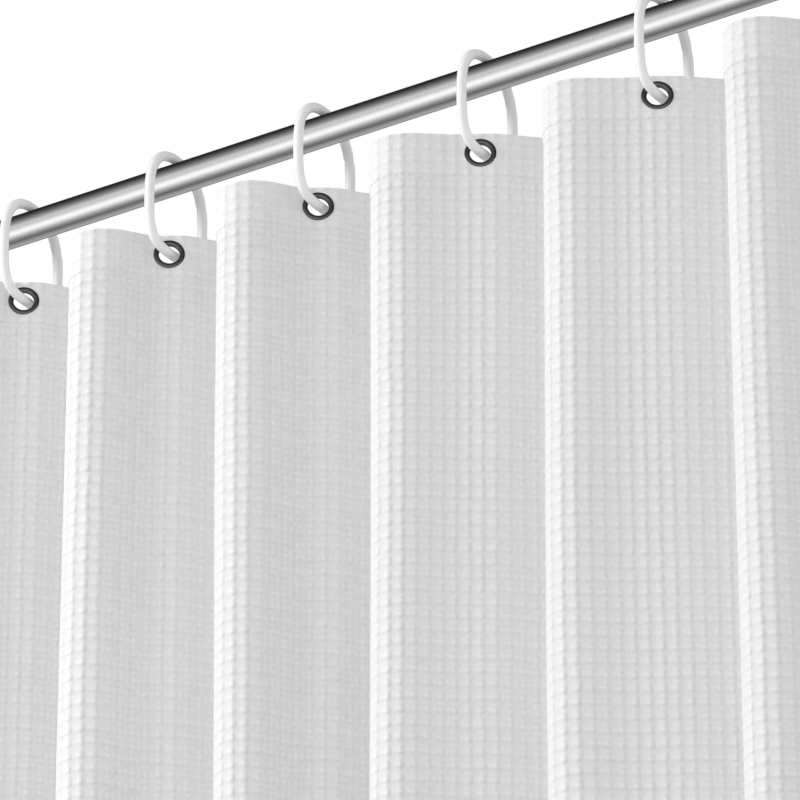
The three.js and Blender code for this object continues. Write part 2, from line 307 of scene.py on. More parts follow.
@dataclass(frozen=True)
class WaffleFinish:
    """White waffle weave: square hollows between raised ridges, flattened where the cloth is doubled; painted
    shade darkens the hollows and painted highlights brighten the knots.
    """

    cell_width: float = 6.5 * MM
    cell_height: float = 7.1 * MM
    thread: float = 0.75 * MM
    relief: float = 1.15 * MM
    ridge_tone: float = 0.87
    # Painted shade: the hollows' colour, darker than the ridges to stand for the shade inside them.
    hollow_painted_shade_tone: float = 0.825
    # Painted highlight: how much brighter the knots where the ridges cross are coloured.
    knot_painted_highlight_tone: float = 0.06
    ridge_height: float = 0.4
    knot_height: float = 0.75
    # How tightly the painted knot highlight gathers on each knot.
    knot_highlight_sharpness: float = 1.5
    thread_height: float = 0.05
    wobble: float = 1.6 * MM
    unevenness: float = 0.04
    hem: float = 25 * MM
    side_hem: float = 9 * MM
    hem_relief: float = 0.8
    size: float = 1828.8 * MM

    def triangle(self, tree: Tree, along: bpy.types.NodeSocket, period: float) -> bpy.types.NodeSocket:
        """A wave from 0 in the middle of each period to 1 at its ends.

        Args:
            tree: the material's tree.
            along: the distance along the cloth.
            period: the wave's length.

        Returns:
            The wave's socket.
        """
        share = tree.math("FRACT", tree.math("DIVIDE", along, period))
        return tree.math("MULTIPLY", tree.math("ABSOLUTE", tree.math("SUBTRACT", share, 0.5)), 2.0)

    def material(self) -> bpy.types.Material:
        """Builds the cloth.

        Returns:
            The material.
        """
        made, tree, shader = new_material("waffle_cloth")
        uv = tree.node("ShaderNodeUVMap", uv_map="cloth").outputs[0]
        wobble = tree.node("ShaderNodeTexNoise", {"Vector": uv, "Scale": 75.0, "Detail": 2.0})
        drift = tree.node(
            "ShaderNodeVectorMath", {0: wobble.outputs["Color"], 1: (0.5, 0.5, 0.5)}, operation="SUBTRACT")
        sway = tree.node("ShaderNodeVectorMath", {0: drift.outputs[0]}, operation="SCALE")
        sway.inputs["Scale"].default_value = self.wobble
        place = tree.node("ShaderNodeVectorMath", {0: uv, 1: sway.outputs[0]}, operation="ADD")
        split = tree.node("ShaderNodeSeparateXYZ", {0: place.outputs[0]})
        across, down = split.outputs[0], split.outputs[1]
        wide = self.triangle(tree, across, self.cell_width)
        tall = self.triangle(tree, down, self.cell_height)
        upright = tree.swell(wide, 0.1, 0.95)
        level = tree.swell(tall, 0.1, 0.95)
        ridge = tree.math("SMOOTH_MAX", upright, level)
        knot = tree.math("MULTIPLY", upright, level)
        waffle = tree.math(
            "ADD", tree.math("MULTIPLY", ridge, self.ridge_height), tree.math("MULTIPLY", knot, self.knot_height))
        warp = self.triangle(tree, across, self.thread)
        weft = self.triangle(tree, down, self.thread)
        threads = tree.math("MULTIPLY", tree.math("ADD", warp, weft), self.thread_height)
        plain = tree.node("ShaderNodeSeparateXYZ", {0: uv})
        body = self.body_share(tree, plain.outputs[0], plain.outputs[1])
        depth = tree.math("ADD", tree.math("MULTIPLY", body, 1 - self.hem_relief), self.hem_relief)
        height = tree.math("ADD", tree.math("MULTIPLY", waffle, depth), threads)
        bump = tree.node("ShaderNodeBump", {"Strength": 1.0, "Distance": self.relief, "Height": height})
        # Painted shade: the colour darkens away from the ridges into each hollow, less on the doubled hems.
        painted_hollow_shade = tree.math("MULTIPLY", tree.math("SUBTRACT", 1.0, ridge, clamp=True), depth)
        # Painted highlight: the knots where the ridges cross are coloured brighter.
        knot_highlight_mask = tree.math("MULTIPLY", tree.math("POWER", knot, self.knot_highlight_sharpness), depth)
        painted_knot_highlight = tree.math("MULTIPLY", knot_highlight_mask, self.knot_painted_highlight_tone)
        patch = tree.node("ShaderNodeTexNoise", {"Vector": uv, "Scale": 6.0, "Detail": 3.0})
        uneven = tree.math("MULTIPLY", tree.math("SUBTRACT", patch.outputs[0], 0.5), self.unevenness)
        painted_shade_strength = self.ridge_tone - self.hollow_painted_shade_tone
        tone = tree.math("ADD", tree.math("MULTIPLY", painted_hollow_shade, -painted_shade_strength), self.ridge_tone)
        tone = tree.math("ADD", tree.math("ADD", tone, uneven), painted_knot_highlight, clamp=True)
        color = tree.node("ShaderNodeCombineColor", {0: tone, 1: tone, 2: tone})
        tree.tree.links.new(color.outputs[0], shader.inputs["Base Color"])
        tree.tree.links.new(bump.outputs[0], shader.inputs["Normal"])
        shader.inputs["Roughness"].default_value = 0.85
        shader.inputs["Sheen Weight"].default_value = 0.15
        shader.inputs["Sheen Roughness"].default_value = 0.5
        shader.inputs["Specular IOR Level"].default_value = 0.25
        return made

    def body_share(
        self, tree: Tree, across: bpy.types.NodeSocket, down: bpy.types.NodeSocket
    ) -> bpy.types.NodeSocket:
        """1 on the single cloth and 0 on the doubled hems.

        Args:
            tree: the material's tree.
            across: the distance from the left edge.
            down: the distance from the top edge.

        Returns:
            The share's socket.
        """
        inside = []
        for along, hem in ((across, self.side_hem), (down, self.hem)):
            nearest = tree.math("MINIMUM", along, tree.math("SUBTRACT", self.size, along))
            past = tree.math("SUBTRACT", nearest, hem - 1 * MM)
            inside.append(tree.math("DIVIDE", past, 2 * MM, clamp=True))
        return tree.math("MULTIPLY", inside[0], inside[1])


@dataclass(frozen=True)
class ThreadFinish:
    """White sewing thread with a slight sheen."""

    tone: float = 0.9

    def material(self) -> bpy.types.Material:
        """Builds the thread.

        Returns:
            The material.
        """
        made, tree, shader = new_material("thread")
        place = tree.node("ShaderNodeTexCoord").outputs["Object"]
        fuzz = tree.node("ShaderNodeTexNoise", {"Vector": place, "Scale": 2500.0, "Detail": 3.0})
        tree.tree.links.new(
            tree.ramp(fuzz.outputs[0], ((0.3, self.tone * 0.88), (0.7, self.tone))), shader.inputs["Base Color"])
        shader.inputs["Roughness"].default_value = 0.6
        shader.inputs["Sheen Weight"].default_value = 0.2
        return made


# ---- Mesh helpers --------------------------------------------------------------------------------------


def add_piece(
    name: str, mesh: bpy.types.Mesh, material: bpy.types.Material, body: str
) -> bpy.types.Object:
    """Puts a finished mesh in the scene.

    Args:
        name: the piece's name.
        mesh: its mesh, in place.
        material: its finish.
        body: the CAD body it rides on.

    Returns:
        The new object.
    """
    mesh.materials.clear()
    mesh.materials.append(material)
    piece = bpy.data.objects.new(name, mesh)
    bpy.context.scene.collection.objects.link(piece)
    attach(piece, body)
    return piece


def mesh_from(
    name: str, points: np.ndarray, faces: Sequence[Sequence[int]], smooth: bool = True
) -> bpy.types.Mesh:
    """Makes a mesh with its faces pointing out.

    Args:
        name: the mesh's name.
        points: its vertices.
        faces: its faces' corners.
        smooth: whether its faces are shaded smooth.

    Returns:
        The mesh.
    """
    mesh = bpy.data.meshes.new(name)
    mesh.from_pydata([tuple(p) for p in points], [], [tuple(f) for f in faces])
    shape = bmesh.new()
    shape.from_mesh(mesh)
    bmesh.ops.remove_doubles(shape, verts=shape.verts, dist=1e-7)
    bmesh.ops.recalc_face_normals(shape, faces=shape.faces)
    shape.to_mesh(mesh)
    shape.free()
    for polygon in mesh.polygons:
        polygon.use_smooth = smooth
    mesh.update()
    return mesh


def swept_loop(name: str, loops: np.ndarray, close_ends: bool = False) -> bpy.types.Mesh:
    """Joins rows of points, each a closed section, into one surface.

    Args:
        name: the mesh's name.
        loops: an array of sections by points by 3.
        close_ends: True for a capped tube, False where the last section meets the first.

    Returns:
        The mesh.
    """
    rows, sides = loops.shape[:2]
    faces = []
    for i in range(rows - 1 if close_ends else rows):
        for j in range(sides):
            a, b = i * sides + j, i * sides + (j + 1) % sides
            c, d = ((i + 1) % rows) * sides + (j + 1) % sides, ((i + 1) % rows) * sides + j
            faces.append((a, b, c, d))
    if close_ends:
        faces.append(tuple(range(sides)))
        faces.append(tuple((rows - 1) * sides + j for j in range(sides)))
    return mesh_from(name, loops.reshape(-1, 3), faces)


def turned(
    name: str, profile: Sequence[tuple[float, float]], place: Matrix, segments: int = 96
) -> bpy.types.Mesh:
    """Turns a closed profile about its own X axis.

    Args:
        name: the mesh's name.
        profile: pairs of distance along the axis and radius, closed on itself or on the axis.
        place: where the turned piece goes.
        segments: how many steps the circle has.

    Returns:
        The mesh.
    """
    angles = np.linspace(0, 2 * math.pi, segments, endpoint=False)
    rows = np.array([
        [(along, radius * math.cos(a), radius * math.sin(a)) for a in angles] for along, radius in profile])
    touches_axis = profile[0][1] == 0.0
    mesh = swept_loop(name, rows, close_ends=False) if not touches_axis else swept_loop(name, rows, True)
    mesh.transform(place)
    mesh.update()
    return mesh


def rounded(
    profile: Sequence[tuple[float, float]], radius: float, steps: int = 4
) -> list[tuple[float, float]]:
    """Rounds every corner of a closed profile.

    Args:
        profile: its corners.
        radius: the largest round.
        steps: how many points each round has.

    Returns:
        The rounded profile.
    """
    made = []
    count = len(profile)
    for i, corner in enumerate(profile):
        here = Vector(corner)
        before, after = Vector(profile[i - 1]), Vector(profile[(i + 1) % count])
        back, ahead = before - here, after - here
        reach = min(radius, back.length * 0.45, ahead.length * 0.45)
        start, end = here + back.normalized() * reach, here + ahead.normalized() * reach
        for k in range(steps + 1):
            t = k / steps
            bent = start * (1 - t) ** 2 + here * (2 * t * (1 - t)) + end * t ** 2
            made.append((bent.x, bent.y))
    return made


# ---- Cloth ------------------------------------------------------------------------------------------------


@dataclass
class FoldPath:
    """The plan curve of the hung cloth: a meander of flanks that carry the eyelets and steep returns."""

    widths: Sequence[float]
    spacing: float = 152.4 * MM
    return_angle: float = -100.0
    phase: float = 8.0
    eyelet_turn: float = 30.0
    reach: float = 12 * MM
    steps: int = 240
    x: np.ndarray = field(init=False)
    y: np.ndarray = field(init=False)
    s: np.ndarray = field(init=False)

    def __post_init__(self) -> None:
        """Walks every fold and joins them end to end."""
        xs, ys = [np.zeros(1)], [np.zeros(1)]
        for width in self.widths:
            x, y = self.fold_of_width(width)
            xs.append(xs[-1][-1] + x[1:])
            ys.append(ys[-1][-1] + y[1:])
        self.x, self.y = np.concatenate(xs), np.concatenate(ys)
        self.s = np.arange(len(self.x)) * self.spacing / self.steps

    @property
    def eyelet_share(self) -> float:
        """How far along its fold an eyelet lies."""
        return 0.5 + self.phase / 360

    def meander(self, share: np.ndarray, flank: float, skew: float) -> np.ndarray:
        """The cloth's direction without the eyelet's turn, in degrees.

        Args:
            share: how far along the fold.
            flank: the flank's direction.
            skew: how much longer the flank is than the return.

        Returns:
            The directions.
        """
        psi = 2 * math.pi * (share - 0.5)
        swing = (flank - self.return_angle) / 2
        middle = (flank + self.return_angle) / 2 - skew
        return middle + swing * np.cos(psi) + skew * np.cos(2 * psi)

    def walk(self, flank: float, skew: float) -> tuple[np.ndarray, np.ndarray]:
        """Walks along one fold.

        Args:
            flank: the flank's direction.
            skew: how much longer the flank is than the return.

        Returns:
            The fold's x and y, from 0, 0.
        """
        share = (np.arange(self.steps) + 0.5) / self.steps
        from_eyelet = (share - self.eyelet_share) * self.spacing / self.reach
        turn = self.eyelet_turn - self.meander(np.array(self.eyelet_share), flank, skew)
        direction = np.radians(self.meander(share, flank, skew) + turn * np.exp(-from_eyelet ** 2))
        step = self.spacing / self.steps
        x = np.concatenate([[0.0], np.cumsum(np.cos(direction)) * step])
        y = np.concatenate([[0.0], np.cumsum(np.sin(direction)) * step])
        return x, y

    @staticmethod
    def solve(rising: Callable[[float], float], low: float, high: float) -> float:
        """Finds where a rising function crosses zero.

        Args:
            rising: the function.
            low: a value below the answer.
            high: a value above it.

        Returns:
            The answer.
        """
        for _ in range(34):
            middle = (low + high) / 2
            if rising(middle) > 0:
                high = middle
            else:
                low = middle
        return (low + high) / 2

    def level_fold(self, flank: float) -> tuple[np.ndarray, np.ndarray]:
        """The fold with this flank that comes back to its starting depth."""
        return self.walk(flank, self.solve(lambda skew: -self.walk(flank, skew)[1][-1], -80, 60))

    def fold_of_width(self, width: float) -> tuple[np.ndarray, np.ndarray]:
        """The fold that takes this width along the rod."""
        return self.level_fold(self.solve(lambda flank: width - self.level_fold(flank)[0][-1], -40, 125))

    def at(self, s: np.ndarray) -> tuple[np.ndarray, np.ndarray]:
        """The curve's x and y at distances along the cloth."""
        return np.interp(s, self.s, self.x), np.interp(s, self.s, self.y)


@dataclass
class Curtain:
    """The sheet of cloth, its hems and its stitches."""

    body: str = "carriage_01"
    draw_joint: str = "curtain_draw"
    keep: float = 0.25
    count: int = 12
    width: float = 1828.8 * MM
    thickness: float = 1.0 * MM
    start: float = 33 * MM
    forward: float = 6 * MM
    top_spreads: tuple[float, ...] = (
        0.605, 0.59, 0.59, 0.59, 0.655, 0.675, 0.625, 0.65, 0.615, 0.635, 0.67, 0.665)
    bottom_spreads: tuple[float, ...] = (
        0.63, 0.60, 0.62, 0.58, 0.65, 0.645, 0.66, 0.61, 0.64, 0.60, 0.675, 0.655)
    hem: float = 25 * MM
    side_hem: float = 9 * MM
    hem_step: float = 0.35 * MM
    sag: float = 2.2 * MM
    stiff_top: float = 0.12
    ripple_start: float = 0.3
    ripple_mm: float = 1.2
    drift_mm: float = 1.5
    hole: float = 6.0 * MM
    fine_step: float = 1.9 * MM
    coarse_step: float = 11 * MM
    bend_step: float = 6.0
    row_step: float = 49 * MM
    stitch_pitch: float = 3.2 * MM
    stitch_length: float = 2.4 * MM
    stitch_radius: float = 0.28 * MM
    top_path: FoldPath = field(init=False)
    bottom_path: FoldPath = field(init=False)
    origin: Vector = field(init=False)
    top: float = field(init=False)
    height: float = field(init=False)
    eyelet_drop: float = field(init=False)

    def __post_init__(self) -> None:
        """Places the plan curves on the frame's eyelets."""
        pitch = self.width / self.count
        level = sum(self.top_spreads) / sum(self.bottom_spreads)
        self.top_path = FoldPath([share * pitch for share in self.top_spreads])
        self.bottom_path = FoldPath([share * level * pitch for share in self.bottom_spreads])
        depths = self.top_path.at(self.eyelets_along())[1]
        self.origin = Vector((self.start, -self.forward - float(depths.mean()), 0))
        low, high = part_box("curtain_fold_01")
        self.top, self.height = high[2], high[2] - low[2]
        low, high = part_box("eyelet_01")
        self.eyelet_drop = self.top - (low[2] + high[2]) / 2

    def eyelets_along(self) -> np.ndarray:
        """The eyelets' distances from the cloth's left edge."""
        return (np.arange(self.count) + self.top_path.eyelet_share) * self.top_path.spacing

    def surface(self, s: np.ndarray, v: np.ndarray) -> np.ndarray:
        """Points of the cloth's middle layer.

        Args:
            s: distances from the left edge.
            v: distances from the top edge.

        Returns:
            The points, one row each.
        """
        xt, yt = self.top_path.at(s)
        xb, yb = self.bottom_path.at(s)
        t = np.clip((v - self.stiff_top) / (self.height - self.stiff_top), 0, 1)
        blend = t * t * (3 - 2 * t)
        x = xt * (1 - blend) + xb * blend
        y = yt * (1 - blend) + yb * blend
        swell = np.clip(v / self.ripple_start, 0, 1)
        across = np.sin(s * 41.0 + 2.1 * np.sin(v * 5.0))
        down = np.sin(v * 9.0 + 1.7 * np.sin(s * 9.0))
        y = y + swell * self.ripple_mm * MM * across * down
        x = x + swell * self.drift_mm * MM * np.sin(v * 4.3 + s * 13.0)
        share = s / self.top_path.spacing - self.top_path.phase / 360
        droop = self.sag * (1 + np.cos(2 * math.pi * share)) / 2 * np.exp(-v / self.stiff_top)
        return np.stack([x + self.origin.x, y + self.origin.y, self.top - v - droop], axis=-1)

    def normals(self, s: np.ndarray, v: np.ndarray) -> np.ndarray:
        """The cloth's directions towards its back, one row each.

        Args:
            s: distances from the left edge.
            v: distances from the top edge.

        Returns:
            The directions.
        """
        d = 0.8 * MM
        along = self.surface(s + d, v) - self.surface(s - d, v)
        down = self.surface(s, v + d) - self.surface(s, v - d)
        made = np.cross(down, along)
        return made / np.linalg.norm(made, axis=-1, keepdims=True)

    def columns(self) -> np.ndarray:
        """Distances of the mesh's columns, closer at the eyelets, side hems and tight bends.

        Returns:
            The distances from the left edge.
        """
        path = self.top_path
        turn = np.abs(np.diff(np.unwrap(np.arctan2(np.diff(path.y), np.diff(path.x)))))
        bends = np.convolve(np.concatenate([turn, turn[-1:]]), np.ones(9) / 9, "same")
        step = path.s[1] - path.s[0]
        density = bends / math.radians(self.bend_step) + step / self.coarse_step
        count = np.concatenate([[0.0], np.cumsum(density)])
        made = list(np.interp(np.arange(1, math.floor(count[-1])), count, path.s))
        fixed = [0.0, self.side_hem - 0.6 * MM, self.side_hem + 0.6 * MM]
        fixed += [self.width - place for place in fixed]
        for centre in self.eyelets_along():
            near = centre + np.arange(-5, 6) * self.fine_step
            fixed += list(near)
            made = [place for place in made if not near[0] - MM < place < near[-1] + MM]
        made = [place for place in made if min(abs(place - stop) for stop in fixed) > MM]
        return np.array(sorted(made + fixed))

    def rows(self) -> np.ndarray:
        """Distances of the mesh's rows, closer together at the eyelets and the hems.

        Returns:
            The distances from the top edge.
        """
        near = [self.eyelet_drop + k * self.fine_step for k in range(-5, 6)]
        made = [0.0] + near + [self.hem - 0.6 * MM, self.hem + 0.6 * MM]
        low = [self.height - self.hem - 0.6 * MM, self.height - self.hem + 0.6 * MM, self.height]
        parts = round((low[0] - made[-1]) / self.row_step)
        middle = list(np.linspace(made[-1], low[0], parts + 1)[1:-1])
        return np.array(made + middle + low)

    def doubled(self, s: np.ndarray, v: np.ndarray) -> np.ndarray:
        """1 where the cloth is folded over into a hem and 0 elsewhere.

        Args:
            s: distances from the left edge.
            v: distances from the top edge.

        Returns:
            The shares.
        """
        level = np.minimum(v, self.height - v) < self.hem
        upright = np.minimum(s, self.width - s) < self.side_hem
        return (level | upright).astype(float)

    def sheet_mesh(self) -> bpy.types.Mesh:
        """The whole sheet as one closed, thin solid with its eyelet holes.

        Returns:
            The mesh.
        """
        cols, rows = self.columns(), self.rows()
        s, v = np.meshgrid(cols, rows)
        for centre in self.eyelets_along():
            ds, dv = s - centre, v - self.eyelet_drop
            reach = np.hypot(ds, dv)
            rim = (reach < self.hole + 0.55 * self.fine_step) & (reach > self.hole - 0.95 * self.fine_step)
            pull = np.where(rim, self.hole / np.maximum(reach, 1e-9), 1.0)
            s, v = centre + ds * pull, self.eyelet_drop + dv * pull
        normal = self.normals(s, v)
        middle = self.surface(s, v)
        half = self.thickness / 2
        extra = self.doubled(s, v)[..., None] * self.hem_step
        layers = [middle - normal * half, middle + normal * (half + extra)]
        ny, nx = s.shape
        points = np.concatenate([layer.reshape(-1, 3) for layer in layers])
        spots = np.concatenate([np.stack([s, v], -1).reshape(-1, 2)] * 2)
        mid_s = (s[:-1, :-1] + s[1:, 1:] + s[:-1, 1:] + s[1:, :-1]) / 4
        mid_v = (v[:-1, :-1] + v[1:, 1:] + v[:-1, 1:] + v[1:, :-1]) / 4
        open_cell = np.zeros(mid_s.shape, bool)
        for centre in self.eyelets_along():
            open_cell |= np.hypot(mid_s - centre, mid_v - self.eyelet_drop) < self.hole - 0.2 * MM
        faces, base = [], nx * ny
        for i in range(ny - 1):
            for j in range(nx - 1):
                if open_cell[i, j]:
                    continue
                a, b, c, d = i * nx + j, i * nx + j + 1, (i + 1) * nx + j + 1, (i + 1) * nx + j
                faces.append((a, d, c, b))
                faces.append((a + base, b + base, c + base, d + base))
        faces += self.rims(open_cell, nx, base)
        return self.unwrapped(points, faces, spots)

    @staticmethod
    def rims(open_cell: np.ndarray, nx: int, base: int) -> list[tuple[int, int, int, int]]:
        """The narrow faces that join the front layer to the back one along every free edge.

        Args:
            open_cell: the cells with no cloth.
            nx: how many points a row has.
            base: how far the back layer's points are numbered past the front's.

        Returns:
            The faces.
        """
        solid = np.pad(~open_cell, 1)
        faces = []
        height, width = open_cell.shape
        for i in range(height):
            for j in range(width):
                if open_cell[i, j]:
                    continue
                a, b, c, d = i * nx + j, i * nx + j + 1, (i + 1) * nx + j + 1, (i + 1) * nx + j
                around = ((-1, 0, a, b), (0, 1, b, c), (1, 0, c, d), (0, -1, d, a))
                for di, dj, p, q in around:
                    if not solid[i + 1 + di, j + 1 + dj]:
                        faces.append((p, q, q + base, p + base))
        return faces

    def unwrapped(self, points: np.ndarray, faces: list, spots: np.ndarray) -> bpy.types.Mesh:
        """Makes the sheet's mesh with a UV map in metres of flat cloth.

        Args:
            points: the vertices.
            faces: the faces' corners.
            spots: each vertex's place on the flat cloth.

        Returns:
            The mesh.
        """
        mesh = bpy.data.meshes.new("curtain_sheet")
        mesh.from_pydata([tuple(p) for p in points], [], faces)
        layer = mesh.uv_layers.new(name="cloth")
        corners = np.zeros(len(mesh.loops), np.int32)
        mesh.loops.foreach_get("vertex_index", corners)
        layer.data.foreach_set("uv", spots[corners].astype(np.float32).ravel())
        shape = bmesh.new()
        shape.from_mesh(mesh)
        loose = [vert for vert in shape.verts if not vert.link_faces]
        bmesh.ops.delete(shape, geom=loose, context="VERTS")
        bmesh.ops.recalc_face_normals(shape, faces=shape.faces)
        shape.to_mesh(mesh)
        shape.free()
        for polygon in mesh.polygons:
            polygon.use_smooth = True
        mesh.update()
        return mesh

    def seam(self, s: np.ndarray, v: np.ndarray, side: Side) -> np.ndarray:
        """A row of stitches' path, just proud of the cloth.

        Args:
            s: distances from the left edge.
            v: distances from the top edge.
            side: the side of the cloth.

        Returns:
            The path's points.
        """
        doubled = self.doubled(s, v) * self.hem_step if side is Side.BACK else np.zeros_like(s)
        proud = self.thickness / 2 + doubled + self.stitch_radius * 0.35
        return self.surface(s, v) + self.normals(s, v) * (side.value * proud)[..., None]

    def seams(self) -> list[np.ndarray]:
        """The paths of every row of stitches: both sides of the top, bottom and side hems.

        Returns:
            The paths.
        """
        inset = 2 * MM
        long_s = np.arange(inset, self.width - inset, 1.5 * MM)
        long_v = np.arange(inset, self.height - inset, 6 * MM)
        made = []
        for side in Side:
            for v in (self.hem - 1.6 * MM, self.height - self.hem + 1.6 * MM):
                made.append(self.seam(long_s, np.full_like(long_s, v), side))
            for s in (self.side_hem - 1.6 * MM, self.width - self.side_hem + 1.6 * MM):
                made.append(self.seam(np.full_like(long_v, s), long_v, side))
        return made

    def build(self, cloth: bpy.types.Material, thread: bpy.types.Material) -> list[bpy.types.Object]:
        """Args:
            cloth: the cloth's finish.
            thread: the stitches' finish.

        Returns:
            The pieces.
        """
        sheet = add_piece("curtain_sheet", self.sheet_mesh(), cloth, self.body)
        rows = StitchRows(self.stitch_pitch, self.stitch_length, self.stitch_radius)
        stitches = rows.mesh(self.seams(), thread)
        sewn = add_piece("hem_stitches", stitches, thread, self.body)
        sheet.visible_glossy = False
        for piece in (sheet, sewn):
            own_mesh(piece)
        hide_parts(*[f"curtain_fold_{i + 1:02d}" for i in range(self.count)])
        return [sheet, sewn]


@dataclass
class StitchRows:
    """Short threads laid end to end along seams, by Geometry Nodes."""

    pitch: float
    length: float
    radius: float

    def tree(self, material: bpy.types.Material) -> bpy.types.NodeTree:
        """Builds the node group, with its sizes as named inputs.

        Args:
            material: the thread's finish.

        Returns:
            The node group.
        """
        group = bpy.data.node_groups.new("stitch_rows", "GeometryNodeTree")
        face = group.interface
        face.new_socket("Seams", in_out="INPUT", socket_type="NodeSocketGeometry")
        for name in ("Pitch", "Length", "Radius"):
            face.new_socket(name, in_out="INPUT", socket_type="NodeSocketFloat")
        face.new_socket("Stitches", in_out="OUTPUT", socket_type="NodeSocketGeometry")
        tree = Tree(group)
        given = tree.node("NodeGroupInput").outputs
        curve = tree.node("GeometryNodeMeshToCurve", {0: given["Seams"]})
        spaced = tree.node(
            "GeometryNodeResampleCurve", {0: curve.outputs[0], "Length": given["Pitch"]}, mode="LENGTH")
        tangent = tree.node("GeometryNodeInputTangent")
        kept = tree.node("GeometryNodeCaptureAttribute", {0: spaced.outputs[0]}, domain="POINT")
        kept.capture_items.new("VECTOR", "Tangent")
        group.links.new(tangent.outputs[0], kept.inputs[1])
        points = tree.node("GeometryNodeCurveToPoints", {0: kept.outputs[0]}, mode="EVALUATED")
        turn = tree.node("FunctionNodeAlignRotationToVector", {"Vector": kept.outputs[1]}, axis="X")
        bead = tree.node("GeometryNodeMeshUVSphere", {"Segments": 6, "Rings": 4, "Radius": 1.0})
        halves = tree.math("DIVIDE", given["Length"], 2.0)
        size = tree.node("ShaderNodeCombineXYZ", {0: halves, 1: given["Radius"], 2: given["Radius"]})
        shaped = tree.node("GeometryNodeTransform", {0: bead.outputs[0], "Scale": size.outputs[0]})
        placed = tree.node(
            "GeometryNodeInstanceOnPoints",
            {0: points.outputs[0], "Instance": shaped.outputs[0], "Rotation": turn.outputs[0]})
        real = tree.node("GeometryNodeRealizeInstances", {0: placed.outputs[0]})
        dressed = tree.node("GeometryNodeSetMaterial", {0: real.outputs[0]})
        dressed.inputs["Material"].default_value = material
        tree.node("NodeGroupOutput", {0: dressed.outputs[0]})
        return group

    def mesh(self, seams: Sequence[np.ndarray], material: bpy.types.Material) -> bpy.types.Mesh:
        """Lays the stitches.

        Args:
            seams: each seam's path.
            material: the thread's finish.

        Returns:
            One plain mesh with every stitch.
        """
        points, edges = [], []
        for path in seams:
            start = len(points)
            points += [tuple(p) for p in path]
            edges += [(k, k + 1) for k in range(start, start + len(path) - 1)]
        lines = bpy.data.meshes.new("seam_lines")
        lines.from_pydata(points, edges, [])
        carrier = bpy.data.objects.new("seam_lines", lines)
        bpy.context.scene.collection.objects.link(carrier)
        modifier = carrier.modifiers.new("stitches", "NODES")
        modifier.node_group = self.tree(material)
        sizes = {"Pitch": self.pitch, "Length": self.length, "Radius": self.radius}
        for item in modifier.node_group.interface.items_tree:
            if item.in_out == "INPUT" and item.name in sizes:
                modifier[item.identifier] = sizes[item.name]
        graph = bpy.context.evaluated_depsgraph_get()
        made = bpy.data.meshes.new_from_object(carrier.evaluated_get(graph))
        bpy.data.objects.remove(carrier)
        for polygon in made.polygons:
            polygon.use_smooth = True
        return made


# ---- Hangers ------------------------------------------------------------------------------------------------


@dataclass
class RingShape:
    """The oval plastic ring: a round bar bent to a squared oval, closed by a snap joint behind the rod."""

    bar: float = 5 * MM
    knot_highlight_mask: float = 2.3
    foot: float = 4.0
    steps: int = 120
    sides: int = 20
    joint_angle: float = 22.0
    joint_depth: float = 0.35 * MM

    def mesh(self, name: str, low: Vector, high: Vector) -> bpy.types.Mesh:
        """Bends one ring inside its CAD box.

        Args:
            name: the mesh's name.
            low: the box's lowest corner.
            high: its highest corner.

        Returns:
            The mesh.
        """
        centre = (low + high) / 2
        flat = math.cos(math.pi / 6)
        half_width = (high.y - low.y - self.bar * flat) / 2
        half_height = (high.z - low.z - self.bar * flat) / 2
        fine = np.linspace(0, 2 * math.pi, 4000)
        power = 2 / np.where(np.sin(fine) > 0, self.knot_highlight_mask, self.foot)
        oval_y = half_width * np.sign(np.cos(fine)) * np.abs(np.cos(fine)) ** power
        oval_z = half_height * np.sign(np.sin(fine)) * np.abs(np.sin(fine)) ** power
        run = np.concatenate([[0], np.cumsum(np.hypot(np.diff(oval_y), np.diff(oval_z)))])
        marks = np.linspace(0, run[-1], self.steps, endpoint=False)
        y, z = np.interp(marks, run, oval_y), np.interp(marks, run, oval_z)
        dy, dz = np.roll(y, -1) - np.roll(y, 1), np.roll(z, -1) - np.roll(z, 1)
        length = np.hypot(dy, dz)
        out_y, out_z = dz / length, -dy / length
        joint = self.joint_angle / 360 * self.steps
        groove = self.joint_depth * np.exp(-((np.arange(self.steps) - joint) / 0.6) ** 2)
        radius = self.bar / 2 - groove
        around = np.linspace(0, 2 * math.pi, self.sides, endpoint=False)
        loops = np.zeros((self.steps, self.sides, 3))
        loops[..., 0] = centre.x + radius[:, None] * np.sin(around)
        loops[..., 1] = centre.y + y[:, None] + radius[:, None] * np.cos(around) * out_y[:, None]
        loops[..., 2] = centre.z + z[:, None] + radius[:, None] * np.cos(around) * out_z[:, None]
        return swept_loop(name, loops)


